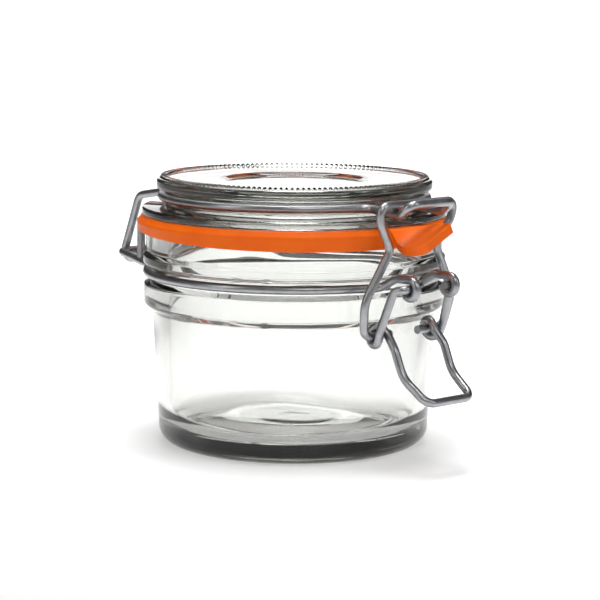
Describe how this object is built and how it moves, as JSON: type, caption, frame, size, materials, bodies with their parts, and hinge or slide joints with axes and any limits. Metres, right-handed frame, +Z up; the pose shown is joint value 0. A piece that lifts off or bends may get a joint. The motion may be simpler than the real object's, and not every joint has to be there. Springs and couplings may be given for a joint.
{
  "type": "clip-top preserving jar",
  "caption": "Small clip-top glass jar: glass lid on a wire hinge, rubber sealing ring and over-centre wire bail clamp.",
  "frame": {"origin": "centre of the base's contact ring, on the jar's axis, on the surface it stands on", "axes": "+Z up along the jar's axis; -Y is the front, where the clamp is; +Y is the back, where the hinge is; the hinge and pivot axes run along X"},
  "size_m": [0.076, 0.1001, 0.0654],
  "materials": {
    "jar_glass": "clear pressed soda glass, very slightly green",
    "lid_glass": "clear pressed soda glass with a ribbed ring",
    "ring_rubber": "orange rubber, satin",
    "lid_wire_steel": "galvanised wire, satin",
    "neck_wire_steel": "galvanised wire, satin",
    "bail_steel": "galvanised wire, satin",
    "lever_steel": "galvanised wire, satin"
  },
  "bodies": {
    "jar": {"jar_body": "jar_glass", "neck_wire": "neck_wire_steel"},
    "lid": {"glass_lid": "lid_glass", "lid_wire": "lid_wire_steel", "gasket": "ring_rubber"},
    "lever": {"lever": "lever_steel"},
    "bail": {"bail": "bail_steel"}
  },
  "joints": [
    {"name": "lid_hinge", "type": "hinge", "parent": "jar", "child": "lid", "pos_m": [0, 0.0433, 0.044], "axis": [-1, 0, 0], "range_deg": [0, 180]},
    {"name": "lever_turn", "type": "hinge", "parent": "jar", "child": "lever", "pos_m": [0, -0.0459, 0.0427], "axis": [-1, 0, 0], "range_deg": [0, 150]},
    {"name": "bail_swing", "type": "hinge", "parent": "lever", "child": "bail", "pos_m": [0, -0.0376, 0.0313], "axis": [1, 0, 0], "range_deg": [0, 240]}
  ],
  "couplings": [
    {"joint": "bail_swing", "follows": "lever_turn", "ratio": 1.6}
  ]
}
